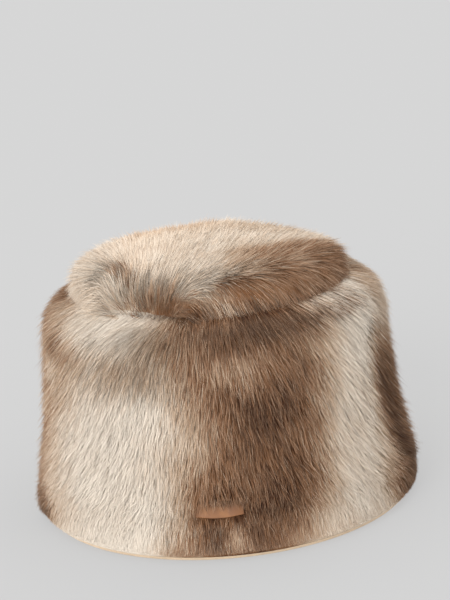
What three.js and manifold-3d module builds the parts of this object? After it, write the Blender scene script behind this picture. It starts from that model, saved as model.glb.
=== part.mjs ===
// A tall soft hat of faux fur, standing by itself on its rim, in millimetres with +Z up.
// A side band of fur fabric is sewn edge to edge to a plump round crown lid, a narrow cloth
// binding closes the lower edge, and a bare leather tab is sewn on low at the front (-Y).
// Each fur panel is a fabric wall with dense underfur and overlapping locks of pile fused to it.
import * as THREE from "three";
import { mergeVertices } from "three/addons/utils/BufferGeometryUtils.js";
import Module from "manifold-3d";

const wasm = await Module();
wasm.setup();
const { Manifold, Mesh } = wasm;

// Driving dimensions
const rimHalfWidth = 109; // fabric at the rim, from the middle to the side
const rimHalfDepth = 103; // fabric at the rim, from the middle to the front
const seamHeight = 145; // from the floor to the seam under the lid
const lidRise = 17; // the lid's fabric above that seam, at the middle
const bandWall = 5; // fur fabric of the side band, with its padded backing
const lidWall = 4; // fur fabric of the lid
const bandFur = 21; // pile standing over the side band
const lidFur = 14; // pile standing over the lid
const underfur = 0.36; // share of the pile that is dense short fur, which the locks grow out of
const seamGap = 0.3; // between sewn edges that touch
const sewnEdge = 0.12; // share of a panel along its sewn edges that its folds don't move
const furGap = 0.8; // between the pile of the lid and that of the band
const bindingCloth = 1.5; // thickness of the cloth binding
const bindingHeight = 5; // how far it reaches up the wall
const tabWidth = 29;
const tabHeight = 10;
const tabThickness = 1.6;
const tabMiddle = 28; // height of the fabric behind the tab's middle
const tabTurn = 266.5; // degrees from +X, where the front is at 270
const tabDepth = 0.72; // how deep it lies in the pile, as a share from the fabric out

// Locks of pile: how many, how long and how wide
const bandLockRows = 6;
const bandLocksAround = 24;
const bandLockLength = 46;
const bandLockWidth = 32;
const lidLockLength = 38;
const lidLockWidth = 30;
const lidCombTurn = -20; // degrees from +X to the way that the lid's pile is combed
const lowestLock = 0.72; // share of a lock's length at which the lowest row is rooted above the rim
const highestLock = 0.95; // share of the way up at which the highest row is rooted

// How far single locks stray from their pattern, as shares of their spacing, length and height
const bandLockStray = { place: 0.16, length: 0.14, lift: 0.07 };
const lidLockStray = { place: 0.3, length: 0.12, lift: 0.06 };
const leanStray = 7; // degrees

// Facets
const segments = 36;
const bandSteps = 10;
const lidSteps = 7;
const liningSteps = 5; // along the inner face of each fabric wall
const tabFacets = 6; // across the tab
const shortestEdge = 0.02; // shorter edges that a cut or a join leaves are closed up
const halvings = 40; // of the range in which a height on the band is looked for

// The side band's fabric from the rim up to the seam. Out is a share of the rim's half width, up of the
// seam's height, and fur of the band's pile.
const BAND = [
  { out: 1.09, up: 0.0, fur: 0.2 },
  { out: 1.082, up: 0.045, fur: 0.5 },
  { out: 1.035, up: 0.1, fur: 0.8 },
  { out: 0.98, up: 0.19, fur: 1.0 },
  { out: 0.93, up: 0.36, fur: 1.0 },
  { out: 0.9, up: 0.55, fur: 1.0 },
  { out: 0.872, up: 0.73, fur: 1.0 },
  { out: 0.845, up: 0.86, fur: 1.0 },
  { out: 0.8, up: 0.945, fur: 0.72 },
  { out: 0.762, up: 0.99, fur: 0.44 },
  { out: 0.735, up: 1.0, fur: 0.28 },
];

// The lid's fabric from its middle out to the seam. Out is a share of the seam's half width, up of
// the lid's rise, and fur of the lid's pile.
const LID = [
  { out: 0.0, up: 1.0, fur: 1.0 },
  { out: 0.26, up: 0.99, fur: 1.0 },
  { out: 0.52, up: 0.94, fur: 1.0 },
  { out: 0.76, up: 0.83, fur: 1.0 },
  { out: 0.93, up: 0.66, fur: 1.05 },
  { out: 1.0, up: 0.38, fur: 1.15 },
  { out: 1.0, up: 0.0, fur: 1.1 },
];

// Where the soft walls stand out or sink in. Turn is in degrees round from +X, at is the share of the
// way from the rim to the seam or from the lid's middle to its seam, wide is degrees to each side,
// reach is the same kind of share as at, and push is a share of the panel's pile.
const BAND_FOLDS = [
  { turn: 236, at: 0.86, wide: 24, reach: 0.16, push: -0.42 }, // pinched corner under the lid
  { turn: 262, at: 0.42, wide: 34, reach: 0.28, push: -0.14 },
  { turn: 214, at: 0.5, wide: 26, reach: 0.34, push: 0.16 },
  { turn: 300, at: 0.5, wide: 26, reach: 0.36, push: 0.18 },
  { turn: 340, at: 0.42, wide: 16, reach: 0.3, push: -0.2 },
  { turn: 356, at: 0.76, wide: 20, reach: 0.2, push: 0.14 },
  { turn: 182, at: 0.82, wide: 26, reach: 0.22, push: 0.3 },
  { turn: 120, at: 0.5, wide: 30, reach: 0.34, push: -0.16 },
  { turn: 62, at: 0.44, wide: 28, reach: 0.34, push: 0.16 },
  { turn: 92, at: 0.84, wide: 22, reach: 0.18, push: -0.2 },
];
const LID_FOLDS = [
  { turn: 188, at: 0.76, wide: 34, reach: 0.36, push: 0.22 }, // plump lobe at the left
  { turn: 234, at: 0.78, wide: 22, reach: 0.34, push: -0.62 }, // dent where the pile parts
  { turn: 300, at: 0.66, wide: 38, reach: 0.36, push: 0.22 },
  { turn: 34, at: 0.6, wide: 54, reach: 0.44, push: -0.36 },
  { turn: 112, at: 0.5, wide: 44, reach: 0.5, push: 0.1 },
];

// How the pile leans off straight down the band, in degrees, at each turn. It fans out from the front.
const BAND_LEAN = [
  { turn: 0, lean: 16 },
  { turn: 90, lean: 0 },
  { turn: 180, lean: -14 },
  { turn: 230, lean: -18 },
  { turn: 262, lean: 0 },
  { turn: 310, lean: 24 },
  { turn: 360, lean: 16 },
];

// One lock along its length: the ridge's height and the lock's thickness as shares of the pile, and
// its width as a share of the full width.
const LOCK = [
  { along: 0.0, height: 0.18, thick: 0.1, width: 0.55 },
  { along: 0.55, height: 0.98, thick: 0.55, width: 1.0 },
  { along: 1.0, height: 0.9, thick: 0, width: 0 },
];

// The rings of locks on the lid. Out is where they are rooted as a share of the seam's half width, and
// fall is how far they turn off the comb to lie straight outwards.
const LID_LOCKS = [
  { out: 0.2, count: 4, fall: 0.1 },
  { out: 0.46, count: 9, fall: 0.4 },
  { out: 0.74, count: 15, fall: 0.88 },
];

const fullTurn = 2 * Math.PI;
const radians = THREE.MathUtils.degToRad;
const rimLift = bindingCloth + seamGap;
const seamHalfWidth = rimHalfWidth * BAND.at(-1).out - seamGap;
const depthRatio = rimHalfDepth / rimHalfWidth;

// A repeatable spread of numbers from -1 to 1
function spread(row, column, salt) {
  const wave = Math.sin(row * 12.9898 + column * 78.233 + salt * 37.719) * 43758.5453;
  return 2 * (wave - Math.floor(wave)) - 1;
}

function smoothHill(distance) {
  const x = Math.min(1, Math.abs(distance));
  return (1 - x * x) * (1 - x * x);
}

function turnsApart(turn, other) {
  return THREE.MathUtils.euclideanModulo(turn - other + Math.PI, fullTurn) - Math.PI;
}

function foldPush(folds, turn, at) {
  let push = 0;
  for (const fold of folds) {
    const aside = turnsApart(turn, radians(fold.turn)) / radians(fold.wide);
    push += fold.push * smoothHill(aside) * smoothHill((at - fold.at) / fold.reach);
  }
  return push;
}

function leanAt(turn) {
  const degrees = THREE.MathUtils.radToDeg(THREE.MathUtils.euclideanModulo(turn, fullTurn));
  const next = Math.max(1, BAND_LEAN.findIndex((row) => row.turn >= degrees));
  const [from, to] = [BAND_LEAN[next - 1], BAND_LEAN[next]];
  const share = (degrees - from.turn) / (to.turn - from.turn);
  return radians(THREE.MathUtils.lerp(from.lean, to.lean, share));
}

// A fur panel as a surface that is turned round the hat's middle. Its point at a turn, a share of the
// way along and a height lies on the fabric at height 0 and on the tips of the pile at height 1;
// offset goes on from there, in millimetres.
function furPanel(rows, outSize, upSize, base, pile, folds, facing) {
  const line = new THREE.SplineCurve(
    rows.map((row) => new THREE.Vector2(row.out * outSize, base + row.up * upSize)),
  );
  const furLine = new THREE.SplineCurve(rows.map((row, i) => new THREE.Vector2(i, row.fur)));
  const lineLength = line.getLength();
  return {
    lineLength,
    at(turn, along, height, offset = 0) {
      const share = THREE.MathUtils.clamp(along, 0, 1);
      const tangent = line.getTangent(share);
      const place = line.getPoint(share).addScaledVector(tangent, (along - share) * lineLength);
      const free = THREE.MathUtils.smoothstep(Math.min(share, 1 - share), 0, sewnEdge);
      const push = foldPush(folds, turn, share) * pile * free;
      const depth = height * pile * furLine.getPoint(share).y + offset + push;
      const radius = place.x + depth * tangent.y * facing;
      const up = place.y - depth * tangent.x * facing;
      return new THREE.Vector3(
        radius * Math.cos(turn),
        (radius - place.x * (1 - depthRatio)) * Math.sin(turn),
        up,
      );
    },
  };
}

const band = furPanel(BAND, rimHalfWidth, seamHeight - rimLift, rimLift, bandFur, BAND_FOLDS, 1);
const lid = furPanel(LID, seamHalfWidth, lidRise, seamHeight, lidFur, LID_FOLDS, -1);

function solidFrom(points, triangles) {
  return new Manifold(
    new Mesh({
      numProp: 3,
      vertProperties: new Float32Array(points.flatMap((p) => [p.x, p.y, p.z])),
      triVerts: new Uint32Array(triangles.flat()),
    }),
  );
}

// The largest body of a solid, without the slivers and loose ends of pile that a cut leaves
function largestBody(solid) {
  const bodies = solid.simplify(shortestEdge).decompose();
  return bodies.reduce((best, body) => (body.volume() > best.volume() ? body : best));
}

function turnsRound(count = segments) {
  return Array.from({ length: count }, (_, i) => (i / count) * fullTurn);
}

// Quads between neighbouring rings of points, as pairs of triangles. Rings go round anticlockwise
// seen from above, and their order goes up the outer face.
function stripTriangles(ringCount, around, wrap) {
  const triangles = [];
  for (let ring = 0; ring < (wrap ? ringCount : ringCount - 1); ring++) {
    for (let i = 0; i < around; i++) {
      const a = ring * around + i;
      const b = ring * around + ((i + 1) % around);
      const c = ((ring + 1) % ringCount) * around + i;
      const d = ((ring + 1) % ringCount) * around + ((i + 1) % around);
      triangles.push([a, b, d], [a, d, c]);
    }
  }
  return triangles;
}

// A ring-shaped solid whose rings run up its outer face and down its inner one
function ringSolid(rings) {
  return solidFrom(rings.flat(), stripTriangles(rings.length, rings[0].length, true));
}

// A dome-shaped wall whose rings run from its lower middle out and over to its upper middle
function domeSolid(lowMiddle, rings, highMiddle) {
  const around = rings[0].length;
  const triangles = stripTriangles(rings.length, around, false);
  const low = rings.length * around;
  const last = (rings.length - 1) * around;
  for (let i = 0; i < around; i++) {
    const next = (i + 1) % around;
    triangles.push([low, next, i], [low + 1, last + i, last + next]);
  }
  return solidFrom([...rings.flat(), lowMiddle, highMiddle], triangles);
}

function ringAt(panel, along, height, offset = 0) {
  return turnsRound().map((turn) => panel.at(turn, along, height, offset));
}

function steps(count, from = 0, to = 1) {
  return Array.from({ length: count + 1 }, (_, i) => from + ((to - from) * i) / count);
}

// A lock of pile: a ridge that rises out of the underfur, lies down along its path and ends in a tip.
// The path gives a turn and a share along the panel at each share of the lock's length, and the
// sideways step from its middle line to its edge.
function lockSolid(panel, path, width, lift) {
  const points = [];
  for (const row of LOCK) {
    const { turn, along, sideTurn, sideAlong } = path(row.along, (row.width * width) / 2);
    const ridge = row.height * lift;
    const foot = ridge - row.thick;
    if (row.width === 0) {
      points.push(panel.at(turn, along, ridge));
    } else {
      points.push(
        panel.at(turn - sideTurn, along - sideAlong, foot),
        panel.at(turn + sideTurn, along + sideAlong, foot),
        panel.at(turn, along, ridge),
      );
    }
  }
  const triangles = [[0, 2, 1]];
  for (let ring = 0; ring < LOCK.length - 2; ring++) {
    for (let side = 0; side < 3; side++) {
      const a = 3 * ring + side;
      const b = 3 * ring + ((side + 1) % 3);
      triangles.push([a, b, b + 3], [a, b + 3, a + 3]);
    }
  }
  const last = 3 * (LOCK.length - 2);
  const tip = points.length - 1;
  triangles.push([last, last + 1, tip], [last + 1, last + 2, tip], [last + 2, last, tip]);
  const solid = solidFrom(points, triangles);
  if (solid.volume() > 0) return solid;
  return solidFrom(points, triangles.map(([a, b, c]) => [a, c, b]));
}

const midPile = 0.5;

// Locks that hang down the side band in staggered rows
function bandLocks() {
  const locks = [];
  const lengthShare = bandLockLength / band.lineLength;
  for (let row = 0; row < bandLockRows; row++) {
    const rootAlong = THREE.MathUtils.lerp(lengthShare * lowestLock, highestLock, row / (bandLockRows - 1));
    for (let column = 0; column < bandLocksAround; column++) {
      const shift = (row % 2) / 2 + bandLockStray.place * spread(row, column, 1);
      const rootTurn = ((column + shift) / bandLocksAround) * fullTurn;
      const length = lengthShare * (1 + bandLockStray.length * spread(row, column, 2));
      const lean = leanAt(rootTurn) + radians(leanStray) * spread(row, column, 3);
      const lift = 1 - bandLockStray.lift * (1 - spread(row, column, 4));
      const path = (share, aside) => {
        const along = rootAlong - share * length * Math.cos(lean);
        const { x, y } = band.at(rootTurn, along, midPile);
        const radius = Math.hypot(x, y);
        const travel = share * length * band.lineLength * Math.sin(lean);
        return {
          turn: rootTurn + travel / radius,
          along,
          sideTurn: (aside * Math.cos(lean)) / radius,
          sideAlong: (aside * Math.sin(lean)) / band.lineLength,
        };
      };
      locks.push(lockSolid(band, path, bandLockWidth, lift));
    }
  }
  return locks;
}

// A straight path over the lid from a root point along a heading, both seen from above
function lidPath(root, heading, length) {
  const across = new THREE.Vector2(-heading.y, heading.x);
  return (share, aside) => {
    const place = root.clone().addScaledVector(heading, length * share);
    const radius = Math.max(1, place.length());
    const away = place.clone().divideScalar(radius);
    const round = new THREE.Vector2(-away.y, away.x);
    return {
      turn: place.angle(),
      along: Math.min(1, radius / lid.lineLength),
      sideTurn: (aside * across.dot(round)) / radius,
      sideAlong: (aside * across.dot(away)) / lid.lineLength,
    };
  };
}

// Locks that are combed across the middle of the lid and fall over its edge on every side
function lidLocks() {
  const locks = [];
  const comb = new THREE.Vector2(1, 0).rotateAround(new THREE.Vector2(), radians(lidCombTurn));
  LID_LOCKS.forEach(({ out, count, fall }, ring) => {
    for (let i = 0; i < count; i++) {
      const turn = ((i + lidLockStray.place * spread(ring, i, 5)) / count) * fullTurn;
      const away = new THREE.Vector2(Math.cos(turn), Math.sin(turn));
      const root = away.clone().multiplyScalar(out * seamHalfWidth);
      const heading = comb.clone().lerp(away, fall).normalize();
      const length = lidLockLength * (1 + lidLockStray.length * spread(ring, i, 7));
      const lift = 1 - lidLockStray.lift * (1 - spread(ring, i, 8));
      locks.push(lockSolid(lid, lidPath(root, heading, length), lidLockWidth, lift));
    }
  });
  return locks;
}

// The share of the way up the band at which its fabric reaches a height above the floor
function alongAtHeight(height) {
  let [low, high] = [0, 1];
  for (let i = 0; i < halvings; i++) {
    const middle = (low + high) / 2;
    if (band.at(0, middle, 0).z < height) low = middle;
    else high = middle;
  }
  return (low + high) / 2;
}

const bindingAlong = alongAtHeight(bindingHeight);

// The upright leg of the binding or the room for it, between two distances from the fabric
function bindingRing(rows) {
  return rows.map(({ along, offset, height }) =>
    turnsRound().map((turn) => band.at(turn, along, 0, offset).setZ(height)),
  );
}

function bindingSolid() {
  const outer = seamGap + bindingCloth;
  const inner = -bandWall - seamGap;
  const section = [
    { along: 0, offset: outer, height: 0 },
    { along: bindingAlong, offset: outer, height: bindingHeight },
    { along: bindingAlong, offset: seamGap, height: bindingHeight },
    { along: 0, offset: seamGap, height: bindingCloth },
    { along: 0, offset: inner, height: bindingCloth },
    { along: bindingAlong, offset: inner, height: bindingHeight },
    { along: bindingAlong, offset: inner - bindingCloth, height: bindingHeight },
    { along: 0, offset: inner - bindingCloth, height: 0 },
  ];
  return ringSolid(bindingRing(section));
}

// What has to be free of fur: the binding's outer leg with a seam gap round it, down past the floor
function bindingRoom() {
  const outer = bindingCloth + 2 * seamGap;
  const top = bindingHeight + seamGap;
  const below = -bandFur;
  const section = [
    { along: 0, offset: outer, height: below },
    { along: bindingAlong, offset: outer, height: top },
    { along: bindingAlong, offset: 0, height: top },
    { along: 0, offset: 0, height: below },
  ];
  return ringSolid(bindingRing(section));
}

// A patch of the band's surface as a slab between two depths, as wide and as high as the tab and
// grown by a margin. Depths are a height in the pile and an offset from it.
function tabSlab(margin, inner, outer) {
  const [across, up] = [tabFacets, 1];
  const middle = radians(tabTurn);
  const points = [];
  const lowAlong = alongAtHeight(tabMiddle - tabHeight / 2 - margin);
  const highAlong = alongAtHeight(tabMiddle + tabHeight / 2 + margin);
  const radius = band.at(middle, (lowAlong + highAlong) / 2, tabDepth).length();
  for (const depth of [inner, outer]) {
    for (const along of steps(up, lowAlong, highAlong)) {
      for (const side of steps(across, -1, 1)) {
        const turn = middle + (side * (tabWidth / 2 + margin)) / radius;
        points.push(band.at(turn, along, depth.height, depth.offset));
      }
    }
  }
  const perRow = across + 1;
  const perFace = perRow * (up + 1);
  const triangles = [];
  const quad = (a, b, c, d) => triangles.push([a, b, c], [a, c, d]);
  for (let v = 0; v < up; v++) {
    for (let u = 0; u < across; u++) {
      const a = v * perRow + u;
      quad(perFace + a, perFace + a + 1, perFace + a + perRow + 1, perFace + a + perRow);
      quad(a, a + perRow, a + perRow + 1, a + 1);
    }
  }
  for (let u = 0; u < across; u++) {
    const top = up * perRow + u;
    quad(u, u + 1, perFace + u + 1, perFace + u);
    quad(top + 1, top, perFace + top, perFace + top + 1);
  }
  for (let v = 0; v < up; v++) {
    const left = v * perRow;
    const right = left + across;
    quad(left + perRow, left, perFace + left, perFace + left + perRow);
    quad(right, right + perRow, perFace + right + perRow, perFace + right);
  }
  return solidFrom(points, triangles);
}

const tabBack = { height: tabDepth, offset: 0 };
const tabFace = { height: tabDepth, offset: tabThickness };

function sideBandSolid() {
  const low = -rimLift / band.lineLength;
  const wall = ringSolid([
    ...steps(bandSteps, low).map((along) => ringAt(band, along, underfur)),
    ...steps(liningSteps, 1, 2 * bindingAlong).map((along) => ringAt(band, along, 0, -bandWall)),
    ringAt(band, bindingAlong, 0, -bandWall),
    ringAt(band, low, 0, -bandWall),
  ]);
  const pressedFur = tabSlab(tabThickness, { height: 0, offset: -bandWall / 2 }, tabFace);
  const tabRoom = tabSlab(
    seamGap,
    { height: tabDepth, offset: -seamGap },
    { height: 1, offset: bandFur },
  );
  const fur = Manifold.union([wall, pressedFur, ...bandLocks()]);
  return largestBody(fur.subtract(tabRoom).subtract(bindingRoom()).subtract(roomBelow()));
}

// The room under the lowest tips of the pile, wider than the hat
function roomBelow() {
  const width = 4 * rimHalfWidth;
  const depth = rimLift + bandLockLength;
  const box = new THREE.BoxGeometry(width, width, depth);
  box.translate(0, 0, rimLift - depth / 2);
  return solidOf(box);
}

function solidOf(geometry) {
  const bare = geometry.clone();
  bare.deleteAttribute("normal");
  bare.deleteAttribute("uv");
  const merged = mergeVertices(bare);
  return new Manifold(
    new Mesh({
      numProp: 3,
      vertProperties: new Float32Array(merged.attributes.position.array),
      triVerts: new Uint32Array(merged.index.array),
    }),
  );
}

const halfway = 0.5;

// Everything that the side band's pile may fill near the lid, from halfway up the band and grown by the
// gap between the two piles
function bandRoom() {
  const up = steps(bandSteps, halfway, 1 + seamGap / band.lineLength);
  return ringSolid([
    ...up.map((along) => ringAt(band, along, 1, furGap)),
    ...up.toReversed().map((along) => ringAt(band, along, 0, -bandWall - furGap)),
  ]);
}

function crownLidSolid() {
  const inner = steps(liningSteps, 1 / lidSteps, 1);
  const outer = steps(lidSteps - 1, 1, 1 / lidSteps);
  const wall = domeSolid(
    lid.at(0, 0, 0, -lidWall),
    [
      ...inner.map((along) => ringAt(lid, along, 0, -lidWall)),
      ...outer.map((along) => ringAt(lid, along, underfur)),
    ],
    lid.at(0, 0, underfur),
  );
  const fur = Manifold.union([wall, ...lidLocks()]);
  return largestBody(fur.subtract(bandRoom()));
}

function meshOf(name, solid, material) {
  const { vertProperties, triVerts } = solid.getMesh();
  const geometry = new THREE.BufferGeometry();
  geometry.setAttribute("position", new THREE.Float32BufferAttribute(vertProperties, 3));
  geometry.setIndex(new THREE.Uint32BufferAttribute(triVerts, 1));
  geometry.computeVertexNormals();
  const mesh = new THREE.Mesh(geometry, material);
  mesh.name = name;
  return mesh;
}

const paleFur = new THREE.MeshStandardMaterial({ color: 0xa98f76, roughness: 0.9, metalness: 0 });
const lidFurMaterial = new THREE.MeshStandardMaterial({ color: 0xc2ae96, roughness: 0.9, metalness: 0 });
const tanCloth = new THREE.MeshStandardMaterial({ color: 0xd9bd98, roughness: 0.85, metalness: 0 });
const leather = new THREE.MeshStandardMaterial({ color: 0xb5814f, roughness: 0.55, metalness: 0 });

const hat = new THREE.Group();
hat.add(
  meshOf("side_band", sideBandSolid(), paleFur),
  meshOf("crown_lid", crownLidSolid(), lidFurMaterial),
  meshOf("rim_binding", bindingSolid(), tanCloth),
  meshOf("leather_tab", tabSlab(0, tabBack, tabFace), leather),
);

// The origin is the middle of the hat's outline, on the floor
const middle = new THREE.Box3().setFromObject(hat).getCenter(new THREE.Vector3());
hat.position.set(-middle.x, -middle.y, 0);

export default hat;
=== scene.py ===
"""A tall hat of faux fur that stands on its rim.

Two hollow pelts make its form, a side band and a plump lid. Combed strands of pile grow out of both,
a folded cloth binding closes the rim, and a bare leather tab lies low in the pile at the front (-Y).
"""
import math
import bpy
import numpy as np
from bpy.props import FloatProperty, FloatVectorProperty, IntProperty, PointerProperty
from mathutils import Matrix, Vector


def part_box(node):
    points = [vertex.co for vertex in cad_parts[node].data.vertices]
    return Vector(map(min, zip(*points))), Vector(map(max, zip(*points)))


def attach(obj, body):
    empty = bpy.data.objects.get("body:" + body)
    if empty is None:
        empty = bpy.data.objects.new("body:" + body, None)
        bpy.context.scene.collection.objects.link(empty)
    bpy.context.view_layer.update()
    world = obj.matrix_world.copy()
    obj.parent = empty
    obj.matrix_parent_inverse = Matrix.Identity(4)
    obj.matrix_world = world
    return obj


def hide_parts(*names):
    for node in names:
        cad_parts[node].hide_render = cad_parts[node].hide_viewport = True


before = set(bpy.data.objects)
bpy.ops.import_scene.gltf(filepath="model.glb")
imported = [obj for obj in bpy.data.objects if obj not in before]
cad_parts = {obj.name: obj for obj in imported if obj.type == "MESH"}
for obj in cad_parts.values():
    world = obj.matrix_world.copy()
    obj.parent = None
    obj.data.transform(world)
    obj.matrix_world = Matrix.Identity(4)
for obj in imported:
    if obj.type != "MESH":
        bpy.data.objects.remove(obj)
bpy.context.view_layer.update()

bl_info = {
    "name": "Faux Fur Hat",
    "version": (1, 0, 0),
    "blender": (4, 5, 0),
    "location": "View3D > Sidebar > Fur Hat",
    "description": "Models a tall faux fur hat with combed pile, a bound rim and a leather tab",
    "category": "Add Mesh",
}

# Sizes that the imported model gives, in metres
MM = 0.001
BINDING_LOW, BINDING_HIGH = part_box("rim_binding")
BAND_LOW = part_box("side_band")[0]
LID_LOW, LID_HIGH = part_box("crown_lid")
TAB_LOW, TAB_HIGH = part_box("leather_tab")
HAT_MIDDLE = np.array([(BINDING_LOW.x + BINDING_HIGH.x) / 2, (BINDING_LOW.y + BINDING_HIGH.y) / 2, 0.0])
RIM_LIFT = BAND_LOW.z
SEAM_HEIGHT = LID_LOW.z
RIM_RADIUS = (BINDING_HIGH.x - BINDING_LOW.x) / 2 - RIM_LIFT
DEPTH_RATIO = ((BINDING_HIGH.y - BINDING_LOW.y) / 2 - RIM_LIFT) / RIM_RADIUS
SEAM_GAP = 0.3 * MM

FULL_TURN = 2 * math.pi


def table(columns, *rows):
    """Rows of numbers as named columns."""
    return dict(zip(columns.split(), np.array(rows, float).T))


# The side band's fabric from the rim up to the seam. Out is a share of the fabric's half width at the
# rim, up of the seam's height, and fur of the band's pile.
BAND = table(
    "out up fur",
    (1.0, 0.0, 0.2),
    (0.993, 0.045, 0.5),
    (0.95, 0.1, 0.8),
    (0.899, 0.19, 1.0),
    (0.853, 0.36, 1.0),
    (0.826, 0.55, 1.0),
    (0.8, 0.73, 1.0),
    (0.775, 0.86, 1.0),
    (0.734, 0.945, 0.72),
    (0.699, 0.99, 0.44),
    (0.674, 1.0, 0.28),
)

# The lid's fabric from its middle out to the seam, as shares of the seam's half width and the lid's rise
LID = table(
    "out up fur",
    (0.0, 1.0, 1.0),
    (0.26, 0.99, 1.0),
    (0.52, 0.94, 1.0),
    (0.76, 0.83, 1.0),
    (0.93, 0.66, 1.05),
    (1.0, 0.38, 1.15),
    (1.0, 0.0, 1.1),
)

# Where the soft walls stand out or sink in: degrees round from +X, share of the way along, degrees to
# each side, reach along, and push as a share of the pile
BAND_FOLDS = table(
    "turn at wide reach push",
    (236, 0.86, 24, 0.16, -0.14),
    (262, 0.42, 34, 0.28, -0.14),
    (214, 0.5, 26, 0.34, 0.16),
    (300, 0.5, 26, 0.36, 0.18),
    (340, 0.42, 16, 0.3, -0.2),
    (356, 0.76, 20, 0.2, 0.14),
    (182, 0.82, 26, 0.22, 0.12),
    (120, 0.5, 30, 0.34, -0.16),
    (62, 0.44, 28, 0.34, 0.16),
    (92, 0.84, 22, 0.18, -0.2),
)
LID_FOLDS = table(
    "turn at wide reach push",
    (188, 0.76, 34, 0.36, 0.1),
    (234, 0.78, 22, 0.34, -0.62),
    (300, 0.66, 38, 0.36, 0.22),
    (34, 0.6, 54, 0.44, -0.36),
    (112, 0.5, 44, 0.5, -0.12),
)
SEWN_EDGE = 0.12  # share of a panel along its sewn edges that its folds don't move

# How the pile leans off straight down the band, in degrees, at each turn
BAND_LEAN = table(
    "turn lean",
    (0, 4), (90, 0), (180, -4), (230, -6), (262, 0), (310, 7),
    (360, 4),
)

# The band's dyed stripes at each turn, from 0, cream, to 1, dark brown
BAND_TONES = table(
    "turn tone",
    (0, 0.8), (10, 0.55), (25, 0.18), (40, 0.08), (52, 0.25), (65, 0.7),
    (80, 0.88), (95, 0.75), (108, 0.3), (120, 0.1), (135, 0.08), (148, 0.35),
    (160, 0.75), (175, 0.85), (188, 0.62), (198, 0.42), (206, 0.3), (214, 0.16),
    (222, 0.06), (240, 0.06), (247, 0.16), (253, 0.36), (259, 0.62), (268, 0.86),
    (285, 1.0), (293, 0.88), (300, 0.6), (306, 0.32), (313, 0.12), (328, 0.12),
    (333, 0.4), (339, 0.95), (350, 1.1), (360, 0.8),
)
STRIPE_SLANT = 4  # degrees that a stripe turns back between the rim and the lid

# Patches of the band that are darker or paler: degrees, height and reach in mm, and the change of tone. Most are
# dyed; the thin dark row at 142 mm is painted shade in the crease under the lid's overhang
BAND_PATCHES = table(
    "turn height wide tall tone",
    (279, 84, 13, 24, 0.14),
    (288, 36, 12, 20, 0.2),
    (300, 20, 14, 20, -0.14),
    (326, 128, 12, 22, -0.1),
    (268, 66, 5, 12, 0.12),
    (276, 120, 24, 18, -0.34),
    # Painted shade: a thin dark line along the crease under the lid's overhang at the front right
    (300, 142, 58, 4.5, 1.9),
    (262, 14, 9, 18, 0.2),
    (271, 12, 5, 12, -0.55),
    (236, 120, 28, 30, 0.34),
    (206, 128, 20, 22, 0.3),
    (198, 112, 9, 16, -0.2),
    (192, 12, 12, 20, 1.1),
    (352, 128, 26, 46, -0.8),
    (252, 12, 9, 16, 0.3),
    (320, 60, 16, 60, 0.04),
    (324, 12, 14, 14, 0.1),
    (345, 40, 8, 24, 0.3),
    (203, 130, 5, 9, 0.4),
)

# Where the pile's tips are dyed grey-brown: like the patches, with the share of strands
BAND_FLECKS = table(
    "turn height wide tall share",
    (244, 116, 20, 28, 0.5),
    (226, 122, 18, 26, 0.34),
    (334, 124, 6, 28, 0.36),
    (262, 16, 10, 16, 0.4),
    (250, 22, 7, 14, 0.2),
    (230, 60, 40, 80, 0.03),
    (310, 70, 30, 70, 0.05),
    (110, 100, 24, 34, 0.2),
    (40, 100, 16, 34, 0.2),
)

# The lid's dyed areas seen from above: place and reach in mm from its middle, and tone. The last row is not dyed
# but painted shade on the lid's top, where the key light falls most fully
LID_PATCHES = table(
    "x y wide deep tone",
    (58, -46, 62, 60, 0.66),
    (80, -40, 30, 50, 0.8),
    (42, -82, 62, 22, 0.78),
    (-28, 58, 60, 26, 0.42),
    (-36, -82, 38, 13, 0.72),
    (-54, -70, 18, 13, 0.6),
    (-22, -88, 30, 10, 0.86),
    (-67, -28, 9, 11, 0.7),
    (-58, -42, 8, 10, 0.7),
    (-84, 8, 20, 50, 0.14),
    (60, 66, 50, 30, 0.45),
    # Painted shade: darkens the middle and back of the lid's top, where the key light falls most fully
    (10, 44, 96, 40, 0.3),
)
LID_FLECKS = table(
    "x y wide deep share",
    (0, 26, 30, 20, 0.06),
    (-36, -74, 40, 28, 0.62),
    (-62, -36, 15, 28, 0.85),
    (-50, -58, 18, 18, 0.4),
    (10, -80, 44, 22, 0.3),
)

# The line at the front left where the lid's pile parts: turns in degrees, distances over the fabric in mm
PARTING = table(
    "turn arc",
    (222, 93), (232, 91), (242, 91), (252, 94),
)
PARTING_MIDDLE = 240
PARTING_REACH = 38  # degrees to each side in which the pile doesn't fall over the edge

# Where the lid hangs over the band, and where painted shade darkens its pile in the crease under it: degrees round
# from +X, degrees to each side, and how far down
OVERHANG_MIDDLE = 302
OVERHANG_REACH = 58
OVERHANG_DROP = 8 * MM

# Where the band's pile flares out, near the hem and under the parting: turn in degrees, distance over the
# fabric in mm, the reach of both to each side, and the lift as a share of the pile
PILE_FLARES = table(
    "turn arc wide tall lift",
    (191, 16, 9, 14, 0.42),
    (346, 32, 9, 16, 0.32),
    (200, 132, 10, 12, 0.2),
    (244, 145, 20, 12, 0.9),
)

# One strand: a root, a pair of edges at its bend and a tip
STRAND_BEND = 0.5  # share of its length
STRAND_BOW = 0.25 * MM  # the most that it bows out, because a sliver is flat between its root and tip
STRAND_ROUNDING = 0.9  # how far the normals at its edges turn aside
SLIVER_FACES = np.array([[0, 2, 1], [1, 2, 3], [0, 1, 3], [0, 3, 2]])
SLIVER_CELL = np.array([[0.5, 0.1], [0.1, 0.5], [0.9, 0.5], [0.5, 0.9]])  # its points in a cell of the UV map
GUARD_SHARE = 0.22  # share of the strands that are longer guard hairs

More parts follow.
